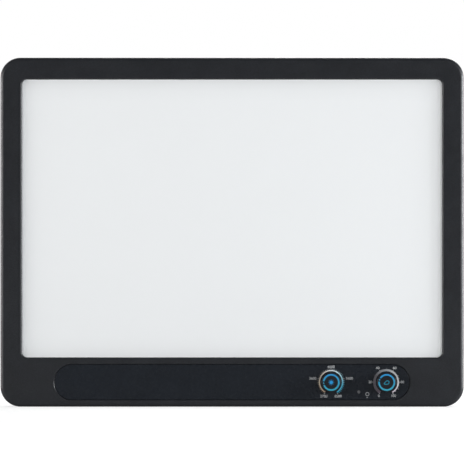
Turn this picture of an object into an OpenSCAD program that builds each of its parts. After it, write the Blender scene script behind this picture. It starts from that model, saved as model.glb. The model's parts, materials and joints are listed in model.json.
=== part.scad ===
// Edge-lit LED panel light: a flat desktop key light with two dials on its chin.
// Every piece is drawn lying on its back: x runs to the right, y runs up the panel and
// z comes out of the lit face. seat() then stands the piece up, with its face towards -Y.
// The origin is the mouth of the stand thread, at the middle of the rear pod's back face.

/* [Panel] */
// Overall width
panel_w = 320; // [300:1:360]
// Overall height
panel_h = 241; // [230:1:280]
// Depth from the bezel's face to the flat of the rear cover
body_d = 19; // [18.5:0.5:26]
// Radius of the outline's corners
corner_r = 14; // [13:0.5:18]
// Rounding of the bezel's outer edge
front_edge_r = 2.6; // [1:0.1:2.8]
// Rounding of the rear cover's outer edge
rear_edge_r = 3; // [2.2:0.1:3.6]
// Wall of the two moulded shells
wall = 2; // [1.8:0.1:2.3]
// Thickness of the bezel's face
face_t = 2.2; // [2:0.1:2.8]
// Depth of the bezel's skirt, from its face to the seam
skirt_d = 5; // [4.5:0.1:5.6]
// Open line at the seam between bezel and rear cover
seam_gap = 0.4; // [0.2:0.1:0.8]
// Tongue of the rear cover that enters the bezel's skirt
tongue_t = 0.9; // [0.7:0.1:1.1]
// How far that tongue stands past the seam
tongue_h = 1.2; // [0.8:0.1:1.5]
// Clearance around that tongue
tongue_gap = 0.1; // [0.05:0.05:0.2]
// Thickness of the ribs in the rear cover
rib_t = 1.2; // [0.8:0.1:1.6]
// Height of the ribs in the rear cover
rib_h = 2.4; // [1.5:0.1:2.6]

/* [Window] */
// Bezel width at the left, right and top of the window
bezel_w = 15.1; // [14.6:0.1:20]
// Height of the chin under the window
chin_h = 34.1; // [33:0.1:42]
// Radius of the window's corners
window_r = 3.5; // [2.5:0.1:6]
// Width of the bevel around the window
window_bevel = 1; // [0.6:0.1:1.8]
// Depth of that bevel
window_bevel_d = 0.9; // [0.6:0.1:1.6]

/* [Optical stack] */
// How far the sheets reach under the bezel
sheet_overlap = 3; // [2.6:0.1:3.2]
// Side clearance of the sheets in the tray
sheet_gap = 0.3; // [0.1:0.1:0.5]
// Thickness of the foam seal
seal_t = 0.6; // [0.4:0.1:0.8]
// Width of the foam seal
seal_w = 2; // [1.5:0.1:2.4]
// Thickness of the opal diffuser
diffuser_t = 2; // [1.5:0.1:2.5]
// Thickness of the prism film
film_t = 0.3; // [0.2:0.05:0.5]
// Thickness of the light guide
guide_t = 4; // [3:0.1:4.5]
// Thickness of the white reflector
reflector_t = 0.4; // [0.2:0.1:0.6]
// Thickness of the aluminium tray
tray_t = 1.2; // [1:0.1:1.4]
// Outer radius of the tray's corners
tray_r = 3; // [2:0.1:4]

/* [LED bars] */
// Gap from the LEDs to the light guide's edge
led_gap = 0.3; // [0.2:0.05:0.4]
// LED length along the bar
led_w = 3.5; // [2.8:0.1:3.6]
// LED width across the bar
led_h = 2.8; // [1.4:0.1:3]
// LED thickness
led_t = 0.7; // [0.5:0.1:0.8]
// Distance from one LED to the next
led_pitch = 7.2; // [6:0.1:9]
// Thickness of the LED board
led_board_t = 0.8; // [0.6:0.1:1]
// Width of the LED board
led_board_w = 5; // [4.4:0.1:5.4]
// Thickness of the thermal tape behind it
tape_t = 0.2; // [0.1:0.05:0.3]

/* [Control strip] */
// Length of the strip
strip_w = 245; // [220:1:255]
// Bare chin above and below the strip
strip_border = 5; // [4.55:0.05:6]
// Thickness of the strip
strip_t = 1.2; // [1:0.1:1.5]
// How far the strip lies under the bezel's face
strip_sink = 0.2; // [0:0.05:0.4]
// Open groove around the strip
strip_gap = 0.3; // [0.2:0.05:0.35]
// Thickness of the adhesive behind the strip
adhesive_t = 0.2; // [0.1:0.05:0.3]
// Floor of the pocket that the strip lies in
pocket_floor = 2; // [1.6:0.1:2.4]
// Rim of that pocket
pocket_rim = 1; // [0.8:0.05:1.05]

/* [Dials] */
// Right-hand dial, from the right end of the strip
dial_inset = 16; // [14:0.1:20]
// Distance between the two dials
dial_pitch = 38.2; // [34:0.1:42]
// Knob radius
knob_r = 6.7; // [6.5:0.05:7.4]
// Knob height
knob_h = 6; // [5.4:0.1:8]
// Gap between knob and strip
knob_gap = 0.5; // [0.3:0.1:0.9]
// Number of grip flutes
knob_flutes = 32; // [20:1:40]
// Mean radius of the coloured ring in the knob
ring_r = 5.25; // [5.1:0.05:5.4]
// Width of that ring
ring_w = 1.1; // [1:0.1:1.5]
// Depth of the ring in the knob
ring_t = 0.8; // [0.6:0.1:1]
// Opening in the ring where the index dot sits, in degrees
ring_opening = 30; // [24:1:40]
// Radius of the index dot
dot_r = 0.5; // [0.4:0.05:0.65]
// Radius of the potentiometer's shaft
shaft_r = 3; // [2.5:0.05:3.1]
// Running clearance of the shaft
shaft_gap = 0.05; // [0.03:0.01:0.09]
// Turn from the low to the high end of the printed scale, in degrees
dial_sweep = 290; // [260:1:300]
// Where the colour dial stands, in degrees from its low end
cct_setting = 49; // [0:1:260]
// Where the brightness dial stands, in degrees from its low end
brightness_setting = 75; // [0:1:260]
// Potentiometer body height
pot_h = 6.5; // [6:0.1:7]
// Potentiometer body width
pot_w = 10; // [9.5:0.1:11]
// Potentiometer body length across the strip
pot_l = 11; // [10:0.1:12]
// Radius of the status lens
lens_r = 1; // [0.8:0.05:1.2]
// Status lens, left of the right-hand dial
lens_dx = 19; // [17:0.1:21]
// Status lens, under the dials
lens_dy = 6.8; // [6:0.1:7.2]

/* [Rear pod] */
// Width of the pod
pod_w = 132; // [131:1:160]
// Height of the pod
pod_h = 96; // [94:1:120]
// How far the pod stands out of the rear cover
pod_d = 16; // [15.5:0.5:20]
// Radius of the pod's corners
pod_r = 16; // [12:0.5:18]
// Rounding of the pod's back edge
pod_edge_r = 4; // [3:0.1:4.2]
// Width of a vent slot
vent_w = 2.4; // [1.8:0.1:3]
// Length of a vent slot
vent_l = 13; // [9:0.5:13]
// Distance from one vent slot to the next
vent_pitch = 6.4; // [5.5:0.1:8]
// Vent slots in each row
vent_count = 15; // [9:2:15]

/* [Stand threads] */
// Radius of the quarter inch stand thread
thread_r = 3.175; // [3.175:0.025:3.2]
// Usable length of the rear thread
rear_thread_l = 10.5; // [9:0.5:11]
// Usable length of the bottom thread
bottom_thread_l = 8; // [7:0.5:10]
// Outside radius of the rear insert
rear_insert_r = 5; // [4.6:0.1:5.4]
// Outside radius of the bottom insert
bottom_insert_r = 4.5; // [4.2:0.1:4.6]
// Thickness of the steel stand plate
plate_t = 2.5; // [2:0.1:3]
// Side of the square stand plate
plate_w = 34; // [32:0.5:36]

/* [Electronics] */
// Thickness of the circuit boards
board_t = 1.6; // [1.2:0.1:1.8]
// Width of the driver board
driver_w = 88; // [86:0.5:88.5]
// Height of the driver board
driver_h = 24.5; // [24.5:0.1:25.5]
// Width of the control board
control_w = 89; // [87:0.5:90]
// Height of the control board
control_h = 19; // [17:0.5:19.4]
// USB-C socket width
usb_w = 9; // [8.9:0.05:9.2]
// USB-C socket height
usb_h = 3.3; // [3.2:0.05:3.5]
// USB-C socket depth
usb_l = 7.4; // [6.5:0.1:9]
// Power rocker, from the left side of the pod
rocker_inset = 25; // [24.5:0.1:25.4]
// Swing of the power rocker, in degrees
rocker_swing = 20; // [12:1:20]
// Radius of an LED lead
lead_r = 1.1; // [0.8:0.1:1.3]

/* [Screws] */
// Shank radius of every screw
screw_r = 1.25; // [1:0.05:1.4]
// Head radius of every screw
head_r = 2.2; // [2:0.05:2.3]
// Head height of every screw
head_t = 1.5; // [1.2:0.1:1.7]
// Clearance around a screw shank
screw_gap = 0.1; // [0.05:0.05:0.2]
// Radius of a moulded screw boss in the bezel
boss_r = 2.4; // [2.3:0.05:2.5]

/* [Hidden] */
$fn = 64;

charcoal = "#2d2e31";
strip_black = "#22252a";
signal_blue = "#2f9bd6";
opal = "#e9ecec";
aluminium = "#c9ccd0";
steel = "#9a9ea3";
brass = "#b9944a";
board_green = "#1f5a3c";
black_part = "#1b1c1e";

// Overlap that keeps a cut clear of the face it goes through
cut = 1;
// Loose fit between pieces that only pass each other
slack = 0.2;
// Fit of a piece that is pushed into its seat
push_fit = 0.05;

// Levels of the stack, from the lit face back
z_front = pod_d + body_d;
z_lip = z_front - face_t;
z_seal = z_lip - seal_t;
z_diffuser = z_seal - diffuser_t;
z_film = z_diffuser - film_t;
z_guide = z_film - guide_t;
z_reflector = z_guide - reflector_t;
z_tray = z_reflector - tray_t;
z_seam = z_front - skirt_d;
z_cover = z_seam - seam_gap;
z_back = pod_d;
z_floor = z_back + wall;
rib_top = z_floor + rib_h;
// Plane where the bezel's bosses meet the rear cover's posts
z_meet = z_tray - slack;

// Control strip and its pocket
strip_y = (chin_h - panel_h) / 2;
strip_h = chin_h - 2 * strip_border;
strip_face = z_front - strip_sink;
strip_back = strip_face - strip_t;
pocket_z = strip_back - adhesive_t;
z_pocket = pocket_z - pocket_floor;
pocket_h = strip_h + 2 * strip_gap;
pocket_w = strip_w + 2 * strip_gap;
adhesive_w = 3;

// Window and sheets
window_w = panel_w - 2 * bezel_w;
window_h = panel_h - bezel_w - chin_h;
window_y = (chin_h - bezel_w) / 2;
sheet_w = window_w + 2 * sheet_overlap;
sheet_h = window_h + 2 * sheet_overlap;
sheet_r = window_r;
led_face_y = sheet_h / 2 + led_gap;
led_back_y = led_face_y + led_t;
board_back_y = led_back_y + led_board_t;
tray_in_w = sheet_w + 2 * sheet_gap;
tray_in_h = 2 * (board_back_y + tape_t);
tray_w = tray_in_w + 2 * tray_t;
tray_h = tray_in_h + 2 * tray_t;
tray_rim = z_pocket - slack;
led_count = floor((sheet_w - 2 * led_pitch) / led_pitch);
led_board_l = led_count * led_pitch + led_w;

// Dials
dial_x = [strip_w / 2 - dial_inset - dial_pitch, strip_w / 2 - dial_inset];
scale_start = 90 + dial_sweep / 2;
knob_z = strip_face + knob_gap;
knob_top = knob_z + knob_h;
knob_wall = 1.2;
ring_floor = 1.4;
knob_roof = ring_t + ring_floor;
knob_edge_r = 0.6;
knob_flute_r = 0.5;
knob_flute_d = 0.28;
hub_wall = 1.1;
hub_r = shaft_r + hub_wall;
shaft_cap = 0.8;
shaft_top = knob_top - ring_t - shaft_cap;
bush_wall = 0.9;
bush_r = shaft_r + bush_wall;
bush_gap = 0.3;
bush_hole_r = bush_r + bush_gap;
bush_l = pocket_floor;
pot_top = z_pocket - slack;
pot_z = pot_top - pot_h;
pot_floor = 1;
shaft_foot = pot_z + pot_floor;
shaft_flat = 0.6;
pot_r = 1;
flat_start = 1;
flat_foot = knob_z + flat_start;
control_past = 1.5;
control_x = strip_w / 2 + control_past - control_w / 2;
control_z = pot_z - board_t;
lens_x = dial_x[1] - lens_dx;
lens_y = strip_y - lens_dy;
lens_collar_lip = 0.8;
lens_collar_r = lens_r + lens_collar_lip;
lens_collar_t = 1;
status_led_size = [1.6, 1.2, 0.6];

// Screw places: rear cover to bezel, tray to bezel, and the boards and plate.
// The bottom pair of cover posts stands clear of the control board's inner end.
post_wall = 1.4;
post_r = head_r + post_wall;
// The posts in the corners sink into the wall there
post_sink = 0.5;
cover_corner_inset = corner_r - (corner_r - wall - post_r + post_sink) / sqrt(2);
cover_side_inset = 6;
cover_bottom_inset = 8;
cover_top_x = 60;
cover_bottom_gap = 3.4;
cover_bottom_x = control_x - control_w / 2 - cover_bottom_gap - post_r;
cover_places = concat(
    [for (sx = [-1, 1], sy = [-1, 1])
        [sx * (panel_w / 2 - cover_corner_inset), sy * (panel_h / 2 - cover_corner_inset)]],
    [for (sx = [-1, 1]) [sx * cover_top_x, panel_h / 2 - cover_side_inset]],
    [for (sx = [-1, 1]) [sx * (panel_w / 2 - cover_side_inset), 0]],
    [for (sx = [-1, 1]) [sx * cover_bottom_x, -panel_h / 2 + cover_bottom_inset]]
);
head_sink = 3.2;
head_seat = z_back + head_sink;
cover_screw_l = 10;
rib_x = [88, 122];
rib_y = 72;
tray_ear_inset = 6.2;
tray_ear_x = panel_w / 2 - tray_ear_inset;
tray_ear_y = 58;
tray_ear_w = 8;
tray_ear_past = 3;
tray_screw_l = 6;
tray_places = [for (sx = [-1, 1], sy = [-1, 1]) [sx * tray_ear_x, window_y + sy * tray_ear_y]];
hole_inset = 3;
board_r = 2;
control_places = [for (sx = [-1, 1], sy = [-1, 1])
    [control_x + sx * (control_w / 2 - hole_inset), strip_y + sy * (control_h / 2 - hole_inset)]];
control_screw_l = 6;
driver_side_gap = 9;
driver_foot_gap = 1.5;
driver_x = pod_w / 2 - wall - driver_side_gap - driver_w / 2;
driver_y = -pod_h / 2 + wall + driver_foot_gap + driver_h / 2;
driver_places = [for (sx = [-1, 1], sy = [-1, 1])
    [driver_x + sx * (driver_w / 2 - hole_inset), driver_y + sy * (driver_h / 2 - hole_inset)]];
driver_screw_l = 5;
plate_hole = 12.5;
plate_places = [for (sx = [-1, 1], sy = [-1, 1]) [sx * plate_hole, sy * plate_hole]];
plate_screw_l = 6;
plate_post_wall = 0.6;
plate_post_r = boss_r + plate_post_wall;
plate_r = 3;

// Stand inserts
insert_lip = 2.5;
insert_flange_r = rear_insert_r + insert_lip;
insert_flange_t = 2;
insert_end_t = 1;
plate_z = rear_thread_l + insert_end_t - plate_t;
rear_insert_l = plate_z + plate_t;
rear_boss_wall = 3;
rear_boss_r = rear_insert_r + rear_boss_wall;
bottom_insert_z = (z_back + rear_edge_r + z_cover) / 2;
bottom_insert_l = bottom_thread_l + insert_end_t;
bottom_boss_wall = 2.5;
bottom_boss_w = 2 * (bottom_insert_r + bottom_boss_wall);
bottom_boss_h = bottom_insert_l + bottom_boss_wall;
bottom_boss_roof = 0.8;
bottom_boss_top = bottom_insert_z + bottom_insert_r + bottom_boss_roof;

// Inlet and switch, on the underside of the pod
inlet_z = (pod_edge_r + pod_d) / 2;
usb_wall = 0.3;
usb_offset = 14;
usb_x = driver_x - usb_offset;
usb_sink = 0.3;
usb_y = -pod_h / 2 + usb_sink;
usb_hole_gap = 0.35;
tongue_w = 6.7;
usb_tongue_h = 0.7;
usb_tongue_l = 4.5;
driver_top = inlet_z - usb_h / 2;
driver_z = driver_top - board_t;
rocker_x = rocker_inset - pod_w / 2;
switch_flange = [15.4, 9.8];
switch_flange_r = 1.2;
switch_flange_t = 1.6;
switch_body_size = [13, 7.8];
switch_body_d = 11;
switch_well = [12, 6.6];
switch_hole_gap = 0.1;
paddle_w = 6;
paddle_half = 5.2;
paddle_reach = 2.6;
paddle_foot = 1.4;
pivot_sink = 0.6;
pivot_y = -pod_h / 2 + pivot_sink;
pivot_r = 1;
pivot_l = 0.6;
pivot_half = switch_well.y / 2 + pivot_l;
paddle_hub_wall = 0.8;
paddle_hub_r = pivot_r + paddle_hub_wall;
well_depth = 4;
well_floor_y = pivot_y + well_depth;

// Wiring: both LED leads run behind the tray, and the ribbon runs up from the control board
lead_x = [-96, -84];
lead_hole_gap = 0.4;
lead_hole_r = lead_r + lead_hole_gap;
lead_drop = 1.2;
lead_run_z = z_tray - lead_r - lead_drop;
lead_bend = 4;
lead_socket = [6, 5, 4];
lead_socket_inset = 10;
lead_socket_rows = [6, -2];
lead_socket_places = [for (row = lead_socket_rows)
    [driver_x - driver_w / 2 + lead_socket_inset, driver_y + row]];
ribbon_w = 8;
ribbon_t = 0.3;
ribbon_inset = 7.5;
ribbon_x = driver_x + driver_w / 2 - ribbon_inset;
ribbon_socket = [11, 4, 1.8];
ribbon_rib_gap = 0.4;
ribbon_run_z = rib_top + ribbon_rib_gap;
ribbon_bend = 2;
driver_socket_dy = 2;
driver_socket_y = driver_y + driver_socket_dy;

// Shapes shared by the pieces

module seat() {
    rotate([90, 0, 0]) children();
}

module rounded_rect(w, h, r) {
    square([w - 2 * r, h], center = true);
    square([w, h - 2 * r], center = true);
    for (sx = [-1, 1], sy = [-1, 1])
        translate([sx * (w / 2 - r), sy * (h / 2 - r)]) circle(r);
}

module pill(w, h) {
    square([w - h, h], center = true);
    for (sx = [-1, 1]) translate([sx * (w - h) / 2, 0]) circle(h / 2);
}

module plate(w, h, r, low, high) {
    translate([0, 0, low]) linear_extrude(high - low) rounded_rect(w, h, r);
}

module box(w, h, low, high) {
    translate([-w / 2, -h / 2, low]) cube([w, h, high - low]);
}

module rod(r, low, high) {
    translate([0, 0, low]) cylinder(r = r, h = high - low);
}

// Slab with round corners, whose edge follows the section given as a child.
// The section's x runs outwards from a corner's centre, and span is its height there.
module edged_slab(w, h, r, span) {
    half = [w / 2 - r, h / 2 - r];
    box(2 * half.x, 2 * half.y, span[0], span[1]);
    for (i = [0:3]) {
        along = half[i % 2];
        across = half[(i + 1) % 2];
        rotate(90 * i) {
            translate([along, 0, 0]) rotate([90, 0, 0])
                linear_extrude(2 * across, center = true) children();
            translate([along, across, 0]) rotate_extrude(angle = 90) children();
        }
    }
}

// Section of an edge whose front corner is rounded
module round_over(r, low, high, f) {
    difference() {
        translate([0, low]) square([r, high - low]);
        translate([r - f, high - f]) difference() {
            square(2 * f);
            circle(f);
        }
    }
}

// Section of an edge whose back corner is rounded
module round_under(r, low, high, f) {
    translate([0, low + high]) mirror([0, 1]) round_over(r, low, high, f);
}

// Tube along a list of points, with a ring at each point on the plane halfway round the bend
function unit(v) = v / norm(v);
function heading(p, i) = i == 0 ? unit(p[1] - p[0])
    : i == len(p) - 1 ? unit(p[i] - p[i - 1])
    : unit(unit(p[i] - p[i - 1]) + unit(p[i + 1] - p[i]));
function slide_onto(v, along, normal) = v - along * (v * normal) / (along * normal);
function next_side(p, i, side) = slide_onto(side, unit(p[i] - p[i - 1]), heading(p, i));
function sides(p, side, i = 0, out = []) = i == len(p) ? out
    : sides(p, side, i + 1, concat([], out, [i == 0 ? side : next_side(p, i, out[i - 1])]));

module tube(p, r, first_side, second_side, count = 8) {
    u = sides(p, first_side);
    v = sides(p, second_side);
    last = len(p) - 1;
    points = [for (i = [0:last], k = [0:count - 1])
        p[i] + r * (cos(360 * k / count) * u[i] + sin(360 * k / count) * v[i])];
    skin = [for (i = [0:last - 1], k = [0:count - 1], half = [0, 1])
        let (a = i * count + k, b = i * count + (k + 1) % count)
        half == 0 ? [a, b, b + count] : [a, b + count, a + count]];
    caps = [for (k = [1:count - 2], end = [0, 1])
        end == 0 ? [0, k + 1, k] : [last * count, last * count + k, last * count + k + 1]];
    polyhedron(points, concat(skin, caps));
}

// Flat band that follows a line of points in a plane
module band(p, t) {
    last = len(p) - 1;
    polygon(concat(p, [for (i = [last:-1:0]) p[i] + [0, t]]));
}

// Pan-head screw, its head under the seat and its shank going up from it
module screw(seat_z, length) {
    rod(screw_r, seat_z, seat_z + length);
    rod(head_r, seat_z - head_t, seat_z);
}

module at(places) {
    for (p = places) translate([p.x, p.y, 0]) children();
}

// Bezel and strip

module strip_outline() {
    pill(strip_w, strip_h);
}

module window_cut() {
    slope = window_bevel / window_bevel_d;
    translate([0, window_y, 0])
        edged_slab(window_w, window_h, window_r, [z_seam - cut, z_front + cut])
            polygon([
                [0, z_seam - cut],
                [window_r, z_seam - cut],
                [window_r, z_front - window_bevel_d],
                [window_r + window_bevel + slope * cut, z_front + cut],
                [0, z_front + cut]
            ]);
}

module bezel_shell() {
    difference() {
        edged_slab(panel_w, panel_h, corner_r, [z_seam, z_front])
            round_over(corner_r, z_seam, z_front, front_edge_r);
        plate(panel_w - 2 * wall, panel_h - 2 * wall, corner_r - wall, z_seam - cut, z_lip);
        rebate = wall - tongue_t - tongue_gap;
        plate(panel_w - 2 * rebate, panel_h - 2 * rebate, corner_r - rebate,
            z_seam - cut, z_seam + tongue_h + tongue_gap);
    }
}

module front_bezel() {
    color(charcoal) difference() {
        union() {
            bezel_shell();
            translate([0, strip_y, z_pocket]) linear_extrude(z_front - z_pocket - face_t / 2)
                pill(pocket_w + 2 * pocket_rim, pocket_h + 2 * pocket_rim);
            at(cover_places) rod(boss_r, z_meet, z_lip + face_t / 2);
            at(tray_places) rod(boss_r, z_reflector, z_lip + face_t / 2);
            at(control_places) rod(boss_r, pot_z, z_pocket + pocket_floor / 2);
        }
        window_cut();
        translate([0, strip_y, pocket_z]) linear_extrude(z_front) pill(pocket_w, pocket_h);
        for (x = dial_x) translate([x, strip_y, 0]) rod(bush_hole_r, z_pocket - cut, z_front);
        translate([lens_x, lens_y, 0]) rod(lens_r + push_fit, z_pocket - cut, z_front);
        at(cover_places) rod(screw_r + screw_gap, z_meet - cut, head_seat + cover_screw_l + slack);
        at(tray_places) rod(screw_r + screw_gap, z_reflector - cut, z_tray + tray_screw_l + slack);
        at(control_places) rod(screw_r + screw_gap, pot_z - cut, control_z + control_screw_l + slack);
    }
}

module control_strip() {
    color(strip_black) translate([0, strip_y, 0]) difference() {
        translate([0, 0, strip_back]) linear_extrude(strip_t) strip_outline();
        for (x = dial_x) translate([x, 0, 0]) rod(bush_hole_r, strip_back - cut, strip_face + cut);
        translate([lens_x, -lens_dy, 0]) rod(lens_r + push_fit, strip_back - cut, strip_face + cut);
    }
}

module strip_adhesive() {
    color(black_part) translate([0, strip_y, pocket_z]) linear_extrude(adhesive_t) difference() {
        strip_outline();
        pill(strip_w - 2 * adhesive_w, strip_h - 2 * adhesive_w);
    }
}

// Optical stack, front to back

module sheet(low, high) {
    translate([0, window_y, 0]) plate(sheet_w, sheet_h, sheet_r, low, high);
}

module diffuser_seal() {
    color(black_part) difference() {
        sheet(z_seal, z_lip);
        translate([0, window_y, 0]) plate(sheet_w - 2 * seal_w, sheet_h - 2 * seal_w,
            sheet_r - seal_w / 2, z_seal - cut, z_lip + cut);
    }
}

module diffuser_panel() {
    color(opal) sheet(z_diffuser, z_seal);
}

module prism_film() {
    color("whitesmoke") sheet(z_film, z_diffuser);
}

module light_guide() {
    color("azure") sheet(z_guide, z_film);
}

module reflector_sheet() {
    color("white") sheet(z_reflector, z_guide);
}

// Pressed beads that stiffen the tray's floor
bead_t = 0.8;
bead_w = 9;
bead_l = 150;
bead_y = [-66, 66];

module back_tray() {
    color(aluminium) difference() {
        union() {
            translate([0, window_y, 0]) plate(tray_w, tray_h, tray_r, z_tray, tray_rim);
            for (p = tray_places) {
                inner = tray_w / 2 - tray_t;
                reach = abs(p.x) + tray_ear_past - inner;
                translate([sign(p.x) * (inner + reach / 2), p.y, 0])
                    box(reach, tray_ear_w, z_tray, z_reflector);
            }
            for (y = bead_y) translate([0, window_y + y, z_tray - bead_t])
                linear_extrude(bead_t + tray_t / 2) pill(bead_l, bead_w);
        }
        translate([0, window_y, 0])
            plate(tray_in_w, tray_in_h, tray_r - tray_t, z_reflector, tray_rim + cut);
        at(tray_places) rod(screw_r + screw_gap, z_tray - cut, z_reflector + cut);
        for (i = [0, 1]) translate([lead_x[i], lead_start_y(i), 0])
            rod(lead_hole_r, z_tray - cut, z_reflector + cut);
    }
}

// LED bars, along the top and bottom edges of the light guide

function bar_side(i) = i == 0 ? 1 : -1;
function lead_start_y(i) = window_y + bar_side(i) * (led_back_y + led_board_t / 2);

module led_board(i) {
    y = window_y + bar_side(i) * (led_back_y + led_board_t / 2);
    color("white") translate([0, y, 0])
        box(led_board_l, led_board_t, z_reflector, z_reflector + led_board_w);
}

module led_row(first) {
    z = z_reflector + led_board_w / 2;
    for (i = [0, 1], k = [first:2:led_count - 1])
        translate([(k - (led_count - 1) / 2) * led_pitch,
            window_y + bar_side(i) * (led_face_y + led_t / 2), 0])
            box(led_w, led_t, z - led_h / 2, z + led_h / 2);
}

module thermal_tapes() {
    color("lightgrey") for (i = [0, 1])
        translate([0, window_y + bar_side(i) * (board_back_y + tape_t / 2), 0])
            box(led_board_l, tape_t, z_reflector, z_reflector + led_board_w);
}

// Rear cover

module vent_row(y) {
    for (k = [0:vent_count - 1])
        translate([(k - (vent_count - 1) / 2) * vent_pitch, y, -cut])
            linear_extrude(wall + 2 * cut) rotate(90) pill(vent_l, vent_w);
}

module cover_shell() {
    difference() {
        union() {
            edged_slab(panel_w, panel_h, corner_r, [z_back, z_cover])
                round_under(corner_r, z_back, z_cover, rear_edge_r);
            inset = wall - tongue_t;
            plate(panel_w - 2 * inset, panel_h - 2 * inset, corner_r - inset,
                z_cover - wall, z_seam + tongue_h);
            edged_slab(pod_w, pod_h, pod_r, [0, z_floor - wall / 2])
                round_under(pod_r, 0, z_floor - wall / 2, pod_edge_r);
        }
        edged_slab(panel_w - 2 * wall, panel_h - 2 * wall, corner_r - wall, [z_floor, z_front])
            round_under(corner_r - wall, z_floor, z_front, rear_edge_r - wall);
        edged_slab(pod_w - 2 * wall, pod_h - 2 * wall, pod_r - wall, [wall, z_floor + cut])
            round_under(pod_r - wall, wall, z_floor + cut, pod_edge_r - wall);
    }
}

// Ribs that cross the floor from wall to wall, beside the pod
module cover_ribs() {
    for (x = rib_x, sx = [-1, 1]) translate([sx * x, 0, 0])
        box(rib_t, panel_h - 2 * wall, z_floor - wall / 2, rib_top);
    for (sy = [-1, 1]) translate([0, sy * rib_y, 0])
        box(panel_w - 2 * wall, rib_t, z_floor - wall / 2, rib_top);
}

module rear_cover() {
    color(charcoal) difference() {
        union() {
            cover_shell();
            cover_ribs();
            at(cover_places) rod(post_r, z_floor - wall / 2, z_meet);
            rod(rear_boss_r, wall / 2, plate_z);
            at(plate_places) rod(plate_post_r, wall / 2, plate_z);
            at(driver_places) rod(boss_r, wall / 2, driver_z);
            translate([0, -panel_h / 2 + wall / 2 + bottom_boss_h / 2, 0])
                box(bottom_boss_w, bottom_boss_h, z_floor - wall / 2, bottom_boss_top);
        }
        at(cover_places) rod(screw_r + screw_gap, z_back - cut, z_front);
        at(cover_places) rod(head_r + slack, z_back - cut, head_seat);
        rod(rear_insert_r + push_fit, -cut, plate_z + cut);
        at(plate_places) rod(screw_r + screw_gap, plate_z + plate_t - plate_screw_l - slack, plate_z + cut);
        at(driver_places) rod(screw_r + screw_gap, driver_top - driver_screw_l - slack, driver_z + cut);
        translate([0, -panel_h / 2, bottom_insert_z]) rotate([-90, 0, 0])
            rod(bottom_insert_r + push_fit, -cut, bottom_insert_l);
        for (sy = [-1, 1]) vent_row(sy * driver_y);
        translate([usb_x, -pod_h / 2, inlet_z]) rotate([-90, 0, 0])
            translate([0, 0, -cut]) linear_extrude(wall + 2 * cut)
                pill(usb_w + 2 * usb_hole_gap, usb_h + 2 * usb_hole_gap);
        translate([rocker_x, -pod_h / 2 + wall / 2, 0])
            box(switch_body_size.x + 2 * switch_hole_gap, wall + 2 * cut,
                inlet_z - switch_body_size.y / 2 - switch_hole_gap,
                inlet_z + switch_body_size.y / 2 + switch_hole_gap);
    }
}

// Stand fittings

module rear_stand_insert() {
    color(brass) difference() {
        union() {
            rod(rear_insert_r, 0, rear_insert_l);
            rod(insert_flange_r, rear_insert_l, rear_insert_l + insert_flange_t);
        }
        rod(thread_r, -cut, rear_thread_l);
    }
}

module bottom_stand_insert() {
    color(brass) translate([0, -panel_h / 2, bottom_insert_z]) rotate([-90, 0, 0]) difference() {
        rod(bottom_insert_r, 0, bottom_insert_l);
        rod(thread_r, -cut, bottom_thread_l);
    }
}

module stand_plate() {
    color(steel) difference() {
        plate(plate_w, plate_w, plate_r, plate_z, plate_z + plate_t);
        rod(rear_insert_r + push_fit, plate_z - cut, plate_z + plate_t + cut);
        at(plate_places) rod(screw_r + screw_gap, plate_z - cut, plate_z + plate_t + cut);
    }
}

// Driver electronics, in the lower half of the pod

module driver_board() {
    color(board_green) difference() {
        translate([driver_x, driver_y, 0]) plate(driver_w, driver_h, board_r, driver_z, driver_top);
        at(driver_places) rod(screw_r + screw_gap, driver_z - cut, driver_top + cut);
    }
}

inductor_w = 9;
inductor_h = 6;
inductor_base = 5;
inductor_r = 3.9;
inductor_places = [[-22, 4], [-10, 4]];
capacitor_r = 3;
capacitor_h = 8;
capacitor_base = [6.4, 1];
capacitor_places = [[0, 5], [7, 5], [14, 5]];
chip_sizes = [[7, 7, 1], [5, 6, 1.6], [5, 4, 1.6]];
chip_places = [[16, -7], [-26, -6], [24, -7]];
can_size = [13, 10, 2.2];
can_r = 0.8;
can_place = [2, -6.5];

module on_driver(places) {
    translate([driver_x, driver_y, driver_top]) at(places) children();
}

module driver_inductors() {
    color(black_part) on_driver(inductor_places) {
        box(inductor_w, inductor_w, 0, inductor_base);
        rod(inductor_r, 0, inductor_h);
    }
}

module driver_capacitors() {
    color("slategrey") on_driver(capacitor_places) {
        box(capacitor_base.x, capacitor_base.x, 0, capacitor_base.y);
        rod(capacitor_r, 0, capacitor_h);
    }
}

module driver_chips() {
    color(black_part) for (i = [0:len(chip_sizes) - 1])
        on_driver([chip_places[i]]) box(chip_sizes[i].x, chip_sizes[i].y, 0, chip_sizes[i].z);
}

module wireless_module() {
    color(steel) on_driver([can_place]) plate(can_size.x, can_size.y, can_r, 0, can_size.z);
}

module lead_sockets() {
    color("ivory") at(lead_socket_places)
        box(lead_socket.x, lead_socket.y, driver_top, driver_top + lead_socket.z);
}

// Inlet and switch

module usb_c_shell() {
    color(steel) translate([usb_x, usb_y, inlet_z]) rotate([-90, 0, 0]) difference() {
        linear_extrude(usb_l) pill(usb_w, usb_h);
        translate([0, 0, -cut]) linear_extrude(usb_l + cut - usb_wall)
            pill(usb_w - 2 * usb_wall, usb_h - 2 * usb_wall);
    }
}

module usb_c_tongue() {
    color(black_part) translate([usb_x, usb_y + usb_l - usb_wall, inlet_z]) rotate([90, 0, 0])
        linear_extrude(usb_tongue_l) square([tongue_w, usb_tongue_h], center = true);
}

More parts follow.
